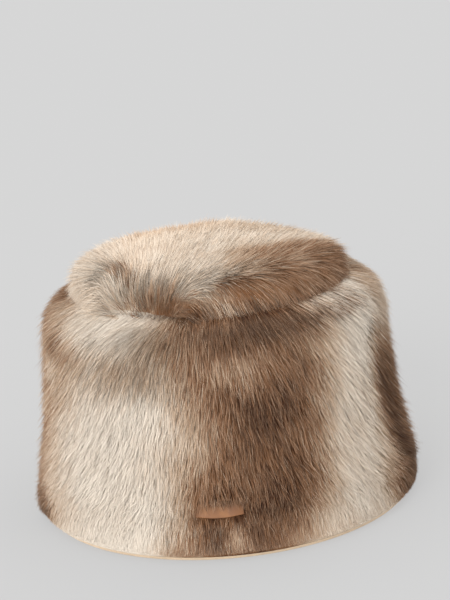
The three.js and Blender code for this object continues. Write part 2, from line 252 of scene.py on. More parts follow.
# Heights as shares of the pile
UNDERFUR = 0.57  # outer face of the band's pelt
LID_UNDERFUR = 0.4  # outer face of the lid's pelt
TAB_COVER = 0.92  # strands that lie over the leather tab

# Clumps of strands, across and along the lie of the pile
TUFT = (1.2 * MM, 3.6 * MM)
LOCK = (7 * MM, 15 * MM)
LID_TUFT = (1.3 * MM, 1.3 * MM)

# How far the dyes of the band and of the lid run into each other
BAND_SCATTER = 3.5 * MM
LID_SCATTER = 2.5 * MM

# How near the band's pile comes to the ground: its lowest roots and tips over the fabric, and any height
HEM_ROOT = 5 * MM
HEM_TIP = 1.6 * MM
PILE_FLOOR = 0.6 * MM

EDGE_SWEEP = 42  # degrees by which the lid's pile turns sideways near its edge, at the most
UPRIGHT_REACH = 27 * MM  # how far from the parting the lid's pile stands up
POLE_RADIUS = 0.1 * MM  # nearer to the hat's middle line than this, a panel is one point

# An even spread over a square, by the plastic number's first two inverse powers
SPREAD_STEPS = (0.7548776662466927, 0.5698402909980532)

# Sizes and strides of the tables of random numbers that clumps are looked up in
CLUMP_ROWS = 4096
CLUMP_TABLE = 65536
CLUMP_STRIDES = (2654435, 40503)

# The photograph's size, the point in it where the camera's aim lies, in pixels, and that aim
IMAGE_WIDTH, IMAGE_HEIGHT = 450, 600
AIM_ACROSS, AIM_DOWN = 220, 375
AIM = Vector((0, 0, 0.08))
SENSOR = 36  # mm along the image's longer side
KEY_DIRECTION = Vector((0.5, 0.9, -0.45))
KEY_ANGLE = math.radians(35)


def settings():
    """The values that the panel shows."""
    return bpy.context.scene.fur_hat


def smooth_hill(distance):
    """1 at no distance, falling smoothly to 0 at 1."""
    x = np.minimum(1.0, np.abs(distance))
    return (1 - x * x) ** 2


def smooth_step(low, high, value):
    """0 below low, 1 above high and smooth between them."""
    x = np.clip((value - low) / (high - low), 0.0, 1.0)
    return x * x * (3 - 2 * x)


def turns_apart(turn, other):
    """The shorter way from one turn to another, in radians."""
    return (turn - other + math.pi) % FULL_TURN - math.pi


def turn_gap(turn, middle, wide):
    """How far a turn is from a middle, as a share of a width, with those two in degrees."""
    return turns_apart(turn, math.radians(middle)) / math.radians(wide)


def unit(vectors):
    """The vectors at length 1."""
    return vectors / np.maximum(np.linalg.norm(vectors, axis=-1, keepdims=True), 1e-12)


def spline(values, share):
    """An evenly stepped curve through the values, and its slope, read at shares from 0 to 1."""
    place = np.clip(share, 0.0, 1.0) * (len(values) - 1)
    row = np.minimum(place.astype(int), len(values) - 2)
    w = place - row
    first, second = values[row], values[row + 1]
    slope_in = (second - values[np.maximum(row - 1, 0)]) / 2
    slope_out = (values[np.minimum(row + 2, len(values) - 1)] - first) / 2
    cubic = 2 * first - 2 * second + slope_in + slope_out
    square = -3 * first + 3 * second - 2 * slope_in - slope_out
    value = ((cubic * w + square) * w + slope_in) * w + first
    slope = (3 * cubic * w + 2 * square) * w + slope_in
    return value, slope


def wander(points, size, seed):
    """Smooth noise from about -1 to 1 over points, which changes over a given size."""
    draw = np.random.default_rng(seed)
    waves = 7
    total = 0.0
    for _ in range(waves):
        wave = unit(draw.normal(size=3)) * FULL_TURN / size * draw.uniform(0.6, 1.5)
        total = total + np.sin(points @ wave + draw.uniform(0, FULL_TURN))
    return total / math.sqrt(waves)


class FurPanel:
    """A panel of fur fabric as a surface that is turned round the hat's middle.

    A point at a turn, a share of the way along and a height lies on the fabric at height 0 and on the
    tips of the pile at height 1. An offset goes on from there, in metres.
    """

    def __init__(self, rows, out_size, up_size, base, pile, folds, facing):
        self.out = rows["out"] * out_size
        self.up = base + rows["up"] * up_size
        self.fur = rows["fur"]
        self.pile = pile
        self.folds = folds
        self.facing = facing
        self.shares = np.linspace(0.0, 1.0, 401)
        out, up = spline(self.out, self.shares)[0], spline(self.up, self.shares)[0]
        steps = np.hypot(np.diff(out), np.diff(up))
        self.arcs = np.concatenate([[0.0], np.cumsum(steps)])
        self.radii = out
        self.length = self.arcs[-1]

    def along(self, arc):
        """The share along at a distance over the fabric, also past its ends."""
        past = arc - np.clip(arc, 0.0, self.length)
        return np.interp(arc, self.arcs, self.shares) + past / self.length

    def radius(self, arc):
        """How far the fabric is from the hat's middle line."""
        return np.interp(arc, self.arcs, self.radii)

    def push(self, turn, share):
        """How far the folds move the wall, in metres."""
        total = 0.0
        for at, middle, wide, reach, push in zip(*self.folds.values()):
            total = total + push * smooth_hill(turn_gap(turn, at, wide)) * smooth_hill((share - middle) / reach)
        free = smooth_step(0.0, SEWN_EDGE, np.minimum(share, 1 - share))
        return total * free * self.pile

    def at(self, turn, along, height, offset=0.0):
        """Points of the panel, as an array with x, y and z last."""
        turn, along, height, offset = np.broadcast_arrays(turn, along, height, offset)
        share = np.clip(along, 0.0, 1.0)
        out, out_slope = spline(self.out, share)
        up, up_slope = spline(self.up, share)
        run = np.hypot(out_slope, up_slope)
        out_slope, up_slope = out_slope / run, up_slope / run
        out = out + out_slope * (along - share) * self.length
        up = up + up_slope * (along - share) * self.length
        depth = height * self.pile * spline(self.fur, share)[0] + offset + self.push(turn, share)
        radius = out + depth * up_slope * self.facing
        x = radius * np.cos(turn)
        y = (radius - out * (1 - DEPTH_RATIO)) * np.sin(turn)
        return np.stack([x, y, up - depth * out_slope * self.facing], axis=-1) + HAT_MIDDLE

    def outward(self, turn, along):
        """The way that the pile stands off the fabric, as vectors of length 1."""
        share = np.clip(along, 0.0, 1.0)
        out_slope, up_slope = spline(self.out, share)[1], spline(self.up, share)[1]
        run = np.hypot(out_slope, up_slope) * self.facing
        x, y = np.cos(turn) * up_slope / run, np.sin(turn) * up_slope / run
        return unit(np.stack([x, y, -out_slope / run], axis=-1))


def band_panel():
    """The side band, from the rim to the seam under the lid."""
    sizes = settings().sizes
    return FurPanel(BAND, RIM_RADIUS, SEAM_HEIGHT - RIM_LIFT, RIM_LIFT, sizes.band_pile, BAND_FOLDS, 1)


def lid_panel():
    """The lid, from its middle to the seam."""
    sizes = settings().sizes
    seam_radius = RIM_RADIUS * BAND["out"][-1] - SEAM_GAP
    return FurPanel(LID, seam_radius, sizes.lid_rise, SEAM_HEIGHT, sizes.lid_pile, LID_FOLDS, -1)


def from_middle(points):
    """The places of points from the hat's middle, and their turns."""
    place = points - HAT_MIDDLE
    return place, np.arctan2(place[..., 1], place[..., 0])


def spots_at(spots, turn, along):
    """The sum of a table's spots at turns, and at heights or at distances over the fabric."""
    total = 0.0
    for at, middle, wide, tall, value in zip(*spots.values()):
        far = np.hypot(turn_gap(turn, at, wide), (along - middle * MM) / (tall * MM))
        total = total + value * smooth_hill(far)
    return total


def band_tone(points):
    """How dark the band is dyed at points, with painted shade in the crease under the lid."""
    place, turn = from_middle(points)
    bend = math.radians(5) * wander(points, 90 * MM, 21)
    stripe_turn = np.degrees(turn + bend) - STRIPE_SLANT * (place[..., 2] / LID_HIGH.z - 0.5)
    tone = np.interp(stripe_turn % 360, BAND_TONES["turn"], BAND_TONES["tone"])
    tone = tone + spots_at(BAND_PATCHES, turn, place[..., 2])
    cloudy = 0.1 * wander(points, 26 * MM, 22) + 0.12 * wander(points, 9 * MM, 24)
    return tone + cloudy * np.clip(0.25 + tone, 0.25, 1.0)


def band_fleck(points):
    """The share of strands with grey tips at points of the band."""
    place, turn = from_middle(points)
    return spots_at(BAND_FLECKS, turn, place[..., 2]) * (1 + 0.4 * wander(points, 9 * MM, 23))


def lid_spots(spots, points):
    """Each spot's hill and value at points of the lid."""
    place = points - HAT_MIDDLE
    for x, y, wide, deep, value in zip(*spots.values()):
        far = np.hypot((place[..., 0] - x * MM) / (wide * MM), (place[..., 1] - y * MM) / (deep * MM))
        yield smooth_hill(far / 1.25), value


def overhang(turn):
    """How much the lid hangs over the band at a turn: 1 at the front right and 0 elsewhere."""
    return smooth_hill(turn_gap(turn, OVERHANG_MIDDLE, OVERHANG_REACH))


def lid_tone(points):
    """How dark the lid is dyed at points, with painted shade in the crease over the band and on its top."""
    tone = 0.22 + 0.0 * points[..., 0]
    wavy = points + 6 * MM * np.stack([wander(points, 50 * MM, 31), wander(points, 50 * MM, 32), tone], axis=-1)
    for hill, value in lid_spots(LID_PATCHES, wavy):
        tone = np.maximum(tone, value * smooth_step(0.1, 0.7, hill))
    # Painted shade: the pile just above the seam darkens where it tucks into the crease under the overhang
    shaded_overhang = overhang(from_middle(points)[1])
    tone = tone + 1.1 * shaded_overhang * smooth_step(SEAM_HEIGHT + 3 * MM, SEAM_HEIGHT - 1 * MM, points[..., 2])
    cloudy = 0.07 * wander(points, 22 * MM, 33) + 0.07 * wander(points, 7 * MM, 35)
    return tone + cloudy * np.clip(0.2 + tone, 0.2, 1.0)


def lid_fleck(points):
    """The share of strands with grey tips at points of the lid."""
    total = 0.0
    for hill, value in lid_spots(LID_FLECKS, points):
        total = total + value * hill
    return total * (1 + 0.8 * wander(points, 9 * MM, 34))


def deselect():
    """Leaves no object selected."""
    for item in bpy.context.selected_objects:
        item.select_set(False)


def in_edit_mode(piece, work):
    """Runs work on a piece in edit mode with all of it selected."""
    deselect()
    piece.select_set(True)
    bpy.context.view_layer.objects.active = piece
    bpy.ops.object.mode_set(mode="EDIT")
    bpy.ops.mesh.select_all(action="SELECT")
    work()
    bpy.ops.object.mode_set(mode="OBJECT")


def grid_piece(name, columns, rows, place):
    """A flat grid whose points are moved to place(u, v), with u and v from 0 to 1."""
    deselect()
    bpy.ops.mesh.primitive_grid_add(x_subdivisions=columns, y_subdivisions=rows, size=2)
    piece = bpy.context.object
    piece.name = name
    piece.data.name = name
    u, v = ((points_of(piece)[:, :2] + 1) / 2).T
    piece.data.vertices.foreach_set("co", place(u, v).astype(np.float32).ravel())
    piece.data.update()
    return piece


def close_up(piece):
    """Merges the edges that meet and turns all faces outwards."""

    def work():
        bpy.ops.mesh.remove_doubles(threshold=1e-6)
        bpy.ops.mesh.normals_make_consistent(inside=False)

    in_edit_mode(piece, work)
    bpy.ops.object.shade_smooth()


def apply_modifier(piece, kind, **values):
    """Adds a modifier with its values and applies it."""
    deselect()
    piece.select_set(True)
    bpy.context.view_layer.objects.active = piece
    modifier = piece.modifiers.new(kind.lower(), kind)
    for name, value in values.items():
        setattr(modifier, name, value)
    bpy.ops.object.modifier_apply(modifier=modifier.name)


def points_of(piece):
    """The piece's points as an array."""
    flat = np.empty(len(piece.data.vertices) * 3)
    piece.data.vertices.foreach_get("co", flat)
    return flat.reshape(-1, 3)


def point_value(mesh, name, values):
    """Stores one number for each point of a mesh."""
    mesh.attributes.new(name, "FLOAT", "POINT").data.foreach_set("value", values.astype(np.float32).ravel())


def face_rows(piece):
    """The v of each face's middle on the flat grid that the piece was made from."""
    flat = np.empty(len(piece.data.loops) * 2)
    piece.data.uv_layers.active.data.foreach_get("uv", flat)
    starts = np.empty(len(piece.data.polygons), int)
    piece.data.polygons.foreach_get("loop_start", starts)
    return np.add.reduceat(flat.reshape(-1, 2)[:, 1], starts) / np.diff(np.append(starts, len(flat) // 2))


def finish_piece(piece, body_slot, replaced, *materials):
    """Gives a piece its materials, puts it under the root body and hides the imported part that it replaces."""
    for material in materials:
        piece.data.materials.append(material)
    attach(piece, "root")
    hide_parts(replaced)


class Shader:
    """Builds a node tree from short calls."""

    def __init__(self, tree):
        self.tree = tree

    def add(self, kind, inputs=(), **values):
        """A node with its settings and with values or links on its inputs."""
        node = self.tree.nodes.new(kind)
        for name, value in values.items():
            setattr(node, name, value)
        for name, value in dict(inputs).items():
            self.feed(node.inputs[name], value)
        return node

    def feed(self, socket, value):
        """Sets a socket or links an output to it."""
        if isinstance(value, bpy.types.NodeSocket):
            self.tree.links.new(value, socket)
        else:
            socket.default_value = value

    def mix(self, share, first, second, blend="MIX"):
        """A colour between two colours."""
        node = self.add("ShaderNodeMix", data_type="RGBA", blend_type=blend)
        self.feed(node.inputs[0], share)
        self.feed(node.inputs[6], first)
        self.feed(node.inputs[7], second)
        return node.outputs[2]

    def math(self, operation, *values):
        """A sum, product or other number."""
        node = self.add("ShaderNodeMath", operation=operation)
        for socket, value in zip(node.inputs, values):
            self.feed(socket, value)
        return node.outputs[0]

    def fill(self, node, **inputs):
        """Feeds a node's inputs, whose names are written with _ for each space, and gives its outputs."""
        for name, value in inputs.items():
            self.feed(node.inputs[name.replace("_", " ")], value)
        return node.outputs

    def group(self, tree, **inputs):
        """The outputs of a node group."""
        return self.fill(self.add("ShaderNodeGroup", node_tree=tree), **inputs)

    def coords(self):
        """Places on the object."""
        return self.add("ShaderNodeTexCoord").outputs["Object"]

    def carried(self, name):
        """A number that the mesh's points carry."""
        return self.add("ShaderNodeAttribute", attribute_name=name).outputs["Fac"]

    def noise(self, vector, scale, detail):
        """Clouds from 0 to 1."""
        inputs = {"Vector": vector, "Scale": scale, "Detail": detail}
        return self.add("ShaderNodeTexNoise", inputs).outputs["Fac"]

    def bump(self, height, distance, strength=1.0):
        """A normal that a height bumps."""
        inputs = {"Height": height, "Distance": distance, "Strength": strength}
        return self.add("ShaderNodeBump", inputs).outputs["Normal"]

    def span(self, value, low, high, to_low=0.0, to_high=1.0):
        """A number moved from one range to another, smoothly at both ends."""
        inputs = {"Value": value, "From Min": low, "From Max": high, "To Min": to_low, "To Max": to_high}
        return self.add("ShaderNodeMapRange", inputs, interpolation_type="SMOOTHSTEP").outputs["Result"]


def node_group(name, inputs, outputs):
    """A new shader node group with its sockets, and its inner nodes to build on."""
    tree = bpy.data.node_groups.new(name, "ShaderNodeTree")
    for direction, sockets in (("INPUT", inputs), ("OUTPUT", outputs)):
        for socket_name, kind, value in sockets:
            socket = tree.interface.new_socket(socket_name, in_out=direction, socket_type="NodeSocket" + kind)
            if value is not None:
                socket.default_value = value
    shader = Shader(tree)
    return shader, shader.add("NodeGroupInput").outputs, shader.add("NodeGroupOutput").inputs


def fur_colour_group():
    """Colours a strand or a pelt by its tone, by grey tips and by the place along the strand, with paler tips and
    painted shade towards the root.
    """
    name = "fur_colour"
    if name in bpy.data.node_groups:
        return bpy.data.node_groups[name]
    colours = settings().colours
    shader, given, made = node_group(
        name,
        (
            ("Tone", "Float", 0.5),
            ("Along", "Float", 1.0),
            ("Fleck", "Float", 0.0),
            ("Root Shade", "Float", 0.5),
            ("Pale Tip", "Float", 0.0),
            *(
                (key.replace("_", " ").title(), "Color", (*getattr(colours, key), 1))
                for key in ("cream", "beige", "brown", "dark", "grey_tip")
            ),
        ),
        (("Color", "Color", None),),
    )
    tone, along = given["Tone"], given["Along"]
    colour = shader.mix(shader.span(tone, 0.0, 0.4), given["Cream"], given["Beige"])
    colour = shader.mix(shader.span(tone, 0.3, 0.75), colour, given["Brown"])
    colour = shader.mix(shader.span(tone, 0.7, 1.1), colour, given["Dark"])
    paler = shader.math("MULTIPLY", shader.span(along, 0.45, 1.0), given["Pale Tip"])
    paler = shader.math("MULTIPLY", paler, shader.span(tone, 0.25, 0.7))
    colour = shader.mix(paler, colour, given["Beige"])
    grey = shader.math("MULTIPLY", given["Fleck"], shader.span(along, 0.25, 0.8))
    colour = shader.mix(grey, colour, given["Grey Tip"])
    # Painted shade: darker towards the root, where a strand lies deep among the others, less so on pale pile
    root = shader.math("MULTIPLY", shader.span(along, 0.0, 0.75, 1.0, 0.0), given["Root Shade"])
    root = shader.math("MULTIPLY", root, shader.span(tone, 0.0, 0.6, 0.2, 1.0))
    shade = shader.math("SUBTRACT", 1.0, root)
    shader.feed(made["Color"], shader.mix(1.0, colour, shade, "MULTIPLY"))
    return shader.tree


def weave_group():
    """A plain weave of crossing yarns with fuzz, as a height and a painted shade that is darker where the weave
    lies low.
    """
    name = "plain_weave"
    if name in bpy.data.node_groups:
        return bpy.data.node_groups[name]
    shader, given, made = node_group(
        name,
        (("Vector", "Vector", None), ("Yarns", "Float", 800.0), ("Fuzz", "Float", 0.3)),
        (("Height", "Float", None), ("Shade", "Float", None)),
    )
    yarns = []
    for direction in ("X", "Z"):
        inputs = {"Vector": given["Vector"], "Scale": given["Yarns"], "Distortion": 0.6}
        wave = shader.add("ShaderNodeTexWave", inputs, wave_type="BANDS", bands_direction=direction)
        yarns.append(wave.outputs["Fac"])
    fuzz = shader.math("MULTIPLY", shader.noise(given["Vector"], 900.0, 5.0), given["Fuzz"])
    height = shader.math("ADD", shader.math("MAXIMUM", *yarns), fuzz)
    shader.feed(made["Height"], height)
    # Painted shade: darker where the weave lies low between the yarns
    shader.feed(made["Shade"], shader.span(height, 0.2, 1.2, 0.72, 1.0))
    return shader.tree


def new_material(name, **values):
    """A material with its principled shader, and with values on that."""
    material = bpy.data.materials.new(name)
    material.use_nodes = True
    shader = Shader(material.node_tree)
    surface = material.node_tree.nodes["Principled BSDF"]
    shader.fill(surface, **values)
    return material, shader, surface


def fur_material(name, root_shade, pale_tip):
    """Strands of pile, coloured by the values that each strand carries."""
    material, shader, surface = new_material(name, Roughness=0.7, Specular_IOR_Level=0.12)
    values = {socket: shader.carried(socket.lower()) for socket in ("Tone", "Along", "Fleck")}
    made = shader.group(fur_colour_group(), **values, Root_Shade=root_shade, Pale_Tip=pale_tip)
    shader.fill(surface, Base_Color=made["Color"])
    return material


def pelt_material(name, root_shade):
    """The dense underfur that shows between the strands."""
    material, shader, surface = new_material(name, Roughness=0.85, Specular_IOR_Level=0.08)
    inputs = {"Vector": shader.coords(), "Scale": (1400.0, 1400.0, 160.0)}
    streaks = shader.noise(shader.add("ShaderNodeMapping", inputs).outputs[0], 1.0, 3.0)
    # Noise streaks stand in for the place along a strand, so the painted root shade falls on the underfur in
    # streaks
    made = shader.group(fur_colour_group(), Tone=shader.carried("tone"), Along=streaks, Root_Shade=root_shade)
    shader.fill(surface, Base_Color=made["Color"], Normal=shader.bump(streaks, 1.2 * MM))
    return material


def cloth_material(name, colour, yarns, depth):
    """Woven cloth in one colour."""
    material, shader, surface = new_material(name, Roughness=0.85, Sheen_Weight=0.15)
    coords = shader.coords()
    weave = shader.group(weave_group(), Vector=coords, Yarns=yarns)
    blotch = shader.span(shader.noise(coords, 60.0, 2.0), 0.3, 0.7, 0.9, 1.0)
    # The weave's painted shade darkens the low places between the yarns; the blotches are random unevenness of the
    # cloth
    colour = shader.mix(1.0, (*colour, 1), shader.math("MULTIPLY", weave["Shade"], blotch), "MULTIPLY")
    shader.fill(surface, Base_Color=colour, Normal=shader.bump(weave["Height"], depth))
    return material


def leather_material(name):
    """Smooth tanned leather with fine pores, and darker along its cut edge."""
    colours = settings().colours
    material, shader, surface = new_material(name, Roughness=0.48, Specular_IOR_Level=0.4)
    coords = shader.coords()
    inputs = {"Vector": coords, "Scale": 1500.0}
    pores = shader.add("ShaderNodeTexVoronoi", inputs, feature="DISTANCE_TO_EDGE").outputs["Distance"]
    clouds = shader.noise(coords, 180.0, 4.0)
    tan = shader.mix(shader.span(clouds, 0.3, 0.7), (*colours.leather, 1), (*colours.leather_pale, 1))
    shader.fill(
        surface,
        Base_Color=shader.mix(shader.carried("edge"), tan, (*colours.leather_edge, 1)),
        Roughness=shader.span(clouds, 0.3, 0.7, 0.42, 0.58),
        Normal=shader.bump(pores, 0.2 * MM, 0.6),
    )
    return material


def shared_material(name, make, *values):
    """A material by its name, made at its first use."""
    return bpy.data.materials.get(name) or make(name, *values)


class Pile:
    """Strands as arrays: where they root, which way they lie, how long they are and how high they stand."""

    def __init__(self, count, seed):
        self.count = count
        self.draw = np.random.default_rng(seed)
        self.spread = [(np.arange(count) + 0.5) * step % 1.0 for step in SPREAD_STEPS]
        self.guard = self.draw.random(count) < GUARD_SHARE

    def jitter(self, size):
        """A number for each strand from about -size to size."""
        return self.draw.normal(0.0, size / 2, self.count)

    def scatter(self, points, size):
        """The points, each moved at random, so that the dyes meet raggedly."""
        return points + self.draw.normal(0.0, size, points.shape)

    def clumps(self, across, along, size, seed):
        """How far each strand's root is from its clump's middle, and three numbers for the clump."""
        wide, tall = size
        draw = np.random.default_rng(seed)
        row = np.floor(along / tall).astype(int)
        shift = draw.random(CLUMP_ROWS)[row % CLUMP_ROWS]
        column = np.floor(across / wide + shift).astype(int)
        number = (row * CLUMP_STRIDES[0] + column * CLUMP_STRIDES[1]) % CLUMP_TABLE
        random = draw.random((CLUMP_TABLE, 5))[number]
        aside = across - (column + 0.2 + 0.6 * random[:, 0] - shift) * wide
        ahead = along - (row + 0.2 + 0.6 * random[:, 1]) * tall
        return aside, ahead, 2 * random[:, 2:] - 1


def strand_points(panel, stations, widths, tilt, floor):
    """The four points of each strand, half its width as a vector, and the way that it faces."""
    root, bend, tip = (panel.at(*station) for station in stations)
    middle = root + (tip - root) * STRAND_BEND
    bow = bend - middle
    size = np.maximum(np.linalg.norm(bow, axis=-1, keepdims=True), 1e-9)
    bend = middle + bow * np.minimum(1.0, STRAND_BOW / size)
    heading = unit(tip - root)
    across = unit(np.cross(heading, panel.outward(stations[1][0], stations[1][1])))
    out = np.cross(across, heading)
    side = (across * np.cos(tilt)[:, None] + out * np.sin(tilt)[:, None]) * widths[:, None] / 2
    points = np.stack([root, bend - side, bend + side, tip], axis=1)
    points[..., 2] = np.maximum(points[..., 2], floor)
    return points, side, out


def triangle_mesh(name, points, faces):
    """A mesh of smooth triangles."""
    count = faces.size // 3
    mesh = bpy.data.meshes.new(name)
    mesh.vertices.add(points.size // 3)
    mesh.vertices.foreach_set("co", points.astype(np.float32).ravel())
    mesh.loops.add(faces.size)
    mesh.loops.foreach_set("vertex_index", faces.astype(np.int32).ravel())
    mesh.polygons.add(count)
    mesh.polygons.foreach_set("loop_start", np.arange(0, faces.size, 3, dtype=np.int32))
    mesh.polygons.foreach_set("use_smooth", np.ones(count, bool))
    mesh.update(calc_edges=True)
    mesh.validate()
    return mesh


def strand_piece(name, panel, stations, widths, values, floor):
    """A piece of bent slivers, from the turn, along and height of each at its root, its bend and its tip."""
    points, side, out = strand_points(panel, stations, widths, values["tilt"], floor)
    root, left, right, tip = points.transpose(1, 0, 2)
    count = len(points)
    first = 4 * np.arange(count)[:, None, None]
    faces = first + SLIVER_FACES
    turned = np.einsum("ij,ij->i", np.cross(right - root, left - root), out) < 0
    faces[turned] = faces[turned][:, :, ::-1]
    mesh = triangle_mesh(name, points, faces)
    point_value(mesh, "along", np.tile([0.0, STRAND_BEND, STRAND_BEND, 1.0], count))
    for value in ("tone", "fleck"):
        point_value(mesh, value, np.repeat(values[value], 4))
    cells = math.ceil(math.sqrt(count))
    corner = np.stack([np.arange(count) % cells, np.arange(count) // cells], axis=-1)[:, None, None]
    places = (corner + SLIVER_CELL[faces - first]) / cells
    mesh.uv_layers.new(name="OFBake").data.foreach_set("uv", places.astype(np.float32).ravel())
    lie = unit(tip - root)
    stand = unit(out - lie * np.einsum("ij,ij->i", out, lie)[:, None])
    aside = np.array([0, -STRAND_ROUNDING, STRAND_ROUNDING, 0])[:, None] * (side / widths[:, None])[:, None]
    normals = unit(stand[:, None] + aside)
    mesh.normals_split_custom_set_from_vertices(normals.reshape(-1, 3).tolist())
    piece = bpy.data.objects.new(name, mesh)
    bpy.context.scene.collection.objects.link(piece)
    return piece


def tab_patch(panel):
    """The turns and the shares along that the leather tab covers, from its box."""
    depth = settings().sizes.tab_depth
    turn = math.atan2(TAB_LOW.y - HAT_MIDDLE[1], (TAB_LOW.x + TAB_HIGH.x) / 2 - HAT_MIDDLE[0])
    samples = panel.at(turn, panel.shares, depth)
    low, high = np.interp([TAB_LOW.z, TAB_HIGH.z], samples[:, 2], panel.shares)
    radius = np.hypot(*(samples[len(samples) // 8, :2] - HAT_MIDDLE[:2]))
    half = (TAB_HIGH.x - TAB_LOW.x) / 2 / radius
    return turn - half, turn + half, low, high


def length_property(name, description, default):
    """A length on the panel."""
    return FloatProperty(name=name, description=description, default=default, subtype="DISTANCE", unit="LENGTH")


def angle_property(name, description, degrees):
    """An angle on the panel."""
    return FloatProperty(name=name, description=description, default=math.radians(degrees), subtype="ANGLE")


def share_property(name, description, default):
    """A share on the panel."""
    return FloatProperty(name=name, description=description, default=default, subtype="FACTOR")


def colour_property(name, description, default):
    """A colour on the panel."""
    return FloatVectorProperty(name=name, description=description, default=default, subtype="COLOR")


class HatSizes(bpy.types.PropertyGroup):
    """Sizes of the hat's soft parts."""

    band_pile: length_property("Band Pile", "Pile over the side band", 0.021)
    lid_pile: length_property("Lid Pile", "Pile over the lid", 0.014)
    lid_rise: length_property("Lid Rise", "Height of the lid's fabric over its seam", 0.017)
    band_wall: length_property("Band Wall", "Thickness of the side band's padded fabric", 0.005)
    lid_wall: length_property("Lid Wall", "Thickness of the lid's fabric", 0.004)
    binding_cloth: length_property("Binding Cloth", "Thickness of the rim's binding", 0.0015)
    tab_thickness: length_property("Tab Thickness", "Thickness of the leather tab", 0.0013)
    tab_depth: share_property("Tab Depth", "Share of the pile's height at which the tab lies", 0.66)


class FurSettings(bpy.types.PropertyGroup):
    """How the pile grows."""

    band_strands: IntProperty(name="Band Strands", description="Strands on a quarter of the band", default=46500)
    lid_strands: IntProperty(name="Lid Strands", description="Strands on the lid", default=49000)
    band_length: length_property("Band Strand Length", "Length of a strand of the band", 0.0118)
    lid_length: length_property("Lid Strand Length", "Length of a strand of the lid", 0.0108)
    width: length_property("Strand Width", "Width of a strand at its bend", 0.00027)
    seed: IntProperty(name="Seed", description="Picks the strands' random values", default=7)


class HatColours(bpy.types.PropertyGroup):
    """Dyes and cloth."""

    cream: colour_property("Cream", "Pale pile", (0.92, 0.815, 0.69))
    beige: colour_property("Beige", "Middle pile", (0.64, 0.47, 0.33))
    brown: colour_property("Brown", "Brown pile", (0.29, 0.137, 0.064))
    dark: colour_property("Dark", "Darkest pile", (0.085, 0.036, 0.018))
    grey_tip: colour_property("Grey Tip", "Grey-brown tips of some strands", (0.17, 0.14, 0.11))
    backing: colour_property("Backing", "Inner cloth", (0.6, 0.5, 0.4))
    binding: colour_property("Binding", "Rim cloth", (0.9, 0.68, 0.46))
    leather: colour_property("Leather", "Leather of the tab", (0.2, 0.08, 0.028))
    leather_pale: colour_property("Pale Leather", "Paler clouds of the tab", (0.28, 0.122, 0.045))
    leather_edge: colour_property("Leather Edge", "Cut edge of the tab", (0.1, 0.04, 0.016))


class StudioSettings(bpy.types.PropertyGroup):
    """The camera's place and the light."""

    elevation: angle_property("Elevation", "Camera over the horizon", 19)
    roll: angle_property("Roll", "Camera's tilt", 5.3)
    distance: length_property("Distance", "Camera to the hat", 1.3)
    lens: FloatProperty(name="Lens", description="Focal length in mm", default=118.3)
    floor_tone: share_property("Floor Tone", "Grey of the floor", 0.15)
    floor_glow: FloatProperty(name="Floor Glow", description="Light of the floor sheet itself", default=0.447)
    sky: FloatProperty(name="Sky", description="Light from all round", default=1.27)
    key: FloatProperty(name="Key Light", description="Light from the front left", default=1.9)


class FurHatSettings(bpy.types.PropertyGroup):
    """All settings of the hat."""

    sizes: PointerProperty(type=HatSizes)
    fur: PointerProperty(type=FurSettings)
    colours: PointerProperty(type=HatColours)
    studio: PointerProperty(type=StudioSettings)


def make_pelt(name, panel, section, grid, dye_and_shade, *stands_for):
    """A pelt that turns its section round the hat, with cloth backing between the third row and the fourth."""

    def place(u, v):
        along, height, offset = (np.interp(v, section["v"], section[key]) for key in ("along", "height", "offset"))
        turn = np.where(panel.radius(along * panel.length) > POLE_RADIUS, u * FULL_TURN, 0.0)
        return panel.at(turn, along, height, offset)

    piece = grid_piece(name, *grid, place)
    close_up(piece)
    # The tone is the dyed colour with painted shade in the crease under the lid
    point_value(piece.data, "tone", dye_and_shade(points_of(piece)))
    rows = face_rows(piece)
    backing = (rows > section["v"][2]) & (rows < section["v"][3])
    finish_piece(
        piece,
        *stands_for,
        shared_material("underfur", pelt_material, 0.5),
        shared_material("backing_cloth", cloth_material, settings().colours.backing, 500.0, 0.3 * MM),
    )
    piece.data.polygons.foreach_set("material_index", backing.astype(np.int32))


class FURHAT_OT_band_pelt(bpy.types.Operator):
    """Models the side band's wall: dense underfur outside and cloth backing inside"""

    bl_idname = "furhat.band_pelt"
    bl_label = "Band Pelt"

    def execute(self, context):
        wall = settings().sizes.band_wall
        # From the outer face's low edge up, over the seam and down the inner face
        section = table(
            "v along height offset",
            (0.0, 0.0, UNDERFUR, 0.0),
            (0.6, 1.0, UNDERFUR, 0.0),
            (0.63, 1.0, 0.0, -wall),
            (0.97, 0.0, 0.0, -wall),
            (1.0, 0.0, UNDERFUR, 0.0),
        )
        make_pelt("band_pelt", band_panel(), section, (144, 72), band_tone, "band_fur", "side_band")
        return {"FINISHED"}


class FURHAT_OT_lid_pelt(bpy.types.Operator):
    """Models the lid's wall as a hollow dome"""

    bl_idname = "furhat.lid_pelt"
    bl_label = "Lid Pelt"

    def execute(self, context):
        wall = settings().sizes.lid_wall
        # From the middle of the outer face to the seam and back to the middle of the inner face
        section = table(
            "v along height offset",
            (0.0, 0.0, LID_UNDERFUR, 0.0),
            (0.6, 1.0, LID_UNDERFUR, 0.0),
            (0.64, 1.0, 0.0, -wall),
            (1.0, 0.0, 0.0, -wall),
        )
        make_pelt("lid_pelt", lid_panel(), section, (120, 44), lid_tone, "lid_fur", "crown_lid")
        return {"FINISHED"}


class FURHAT_OT_band_pile(bpy.types.Operator):
    """Grows the side band's pile, combed down and fanned out, in four quarters"""

    bl_idname = "furhat.band_pile"
    bl_label = "Band Pile"

    def execute(self, context):
        fur = settings().fur
        panel = band_panel()
        for quarter, name in enumerate(("right", "back", "left", "front")):
            grow_band_quarter(panel, f"band_pile_{name}", math.radians(90 * quarter - 45), fur.seed + quarter)
        return {"FINISHED"}


